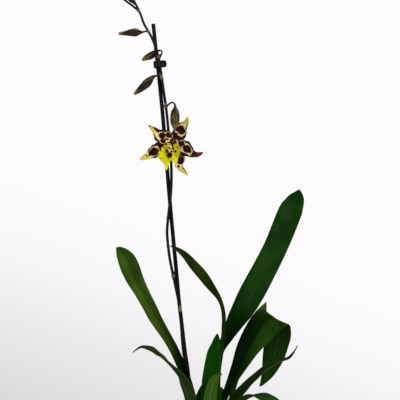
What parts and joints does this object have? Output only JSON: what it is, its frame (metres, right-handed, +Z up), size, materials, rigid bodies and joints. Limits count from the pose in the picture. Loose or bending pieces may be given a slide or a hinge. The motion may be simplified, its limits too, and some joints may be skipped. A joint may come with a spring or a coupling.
{
  "type": "potted orchid",
  "caption": "Live orchid in a plain round pot of bark: strap leaves on pseudobulbs and a staked, clipped flower spike with buds and a blotched open bloom.",
  "frame": {"origin": "centre of the pot's flat base, on the surface it stands on", "axes": "+Z up along the pot's axis; the flower faces -Y, which is the front; +X to the right seen from the front"},
  "size_m": [0.256, 0.1763, 0.6653],
  "materials": {
    "pot_glaze": "satin",
    "bark": "matte",
    "stake_coating": "satin",
    "clip_plastic": "satin",
    "spring_steel": "satin",
    "bulb_skin": "satin",
    "leaf": "satin",
    "young_leaf": "satin",
    "spike_skin": "satin",
    "bud_skin": "satin",
    "petal": "satin",
    "lip": "satin"
  },
  "bodies": {
    "plant": {"pot": "pot_glaze", "potting_bark": "bark", "stake": "stake_coating", "clip_back_jaw": "clip_plastic", "clip_pin": "spring_steel", "clip_spring": "spring_steel", "left_pseudobulb": "bulb_skin", "back_pseudobulb": "bulb_skin", "right_pseudobulb": "bulb_skin", "young_growth": "bulb_skin", "left_tall_leaf": "leaf", "left_low_leaf": "leaf", "centre_arching_leaf": "leaf", "right_tall_leaf": "leaf", "right_folded_leaf": "leaf", "right_hidden_leaf": "leaf", "right_narrow_leaf": "leaf", "front_right_leaf": "leaf", "young_leaf": "young_leaf", "front_small_leaf": "young_leaf", "outer_sheath": "leaf", "flower_spike": "spike_skin", "flower_stalk": "spike_skin", "upper_left_bud": "bud_skin", "stake_bud": "bud_skin", "lower_left_bud": "bud_skin", "hanging_bud": "bud_skin", "top_bud": "bud_skin", "tip_bud_left": "bud_skin", "tip_bud_right": "bud_skin", "column": "petal", "dorsal_sepal": "petal", "left_petal": "petal", "right_petal": "petal", "lower_left_sepal": "petal", "lower_right_sepal": "petal", "lip": "lip"},
    "clip_jaw": {"clip_front_jaw": "clip_plastic"}
  },
  "joints": [
    {"name": "clip_hinge", "type": "hinge", "parent": "plant", "child": "clip_jaw", "pos_m": [-0.0638, 0.016, 0.549], "axis": [-0.0995, 0, 0.995], "range_deg": [0, 35], "stiffness_Nm_per_rad": 0.01, "springref_deg": -28.65, "deforming": ["clip_spring"]}
  ]
}
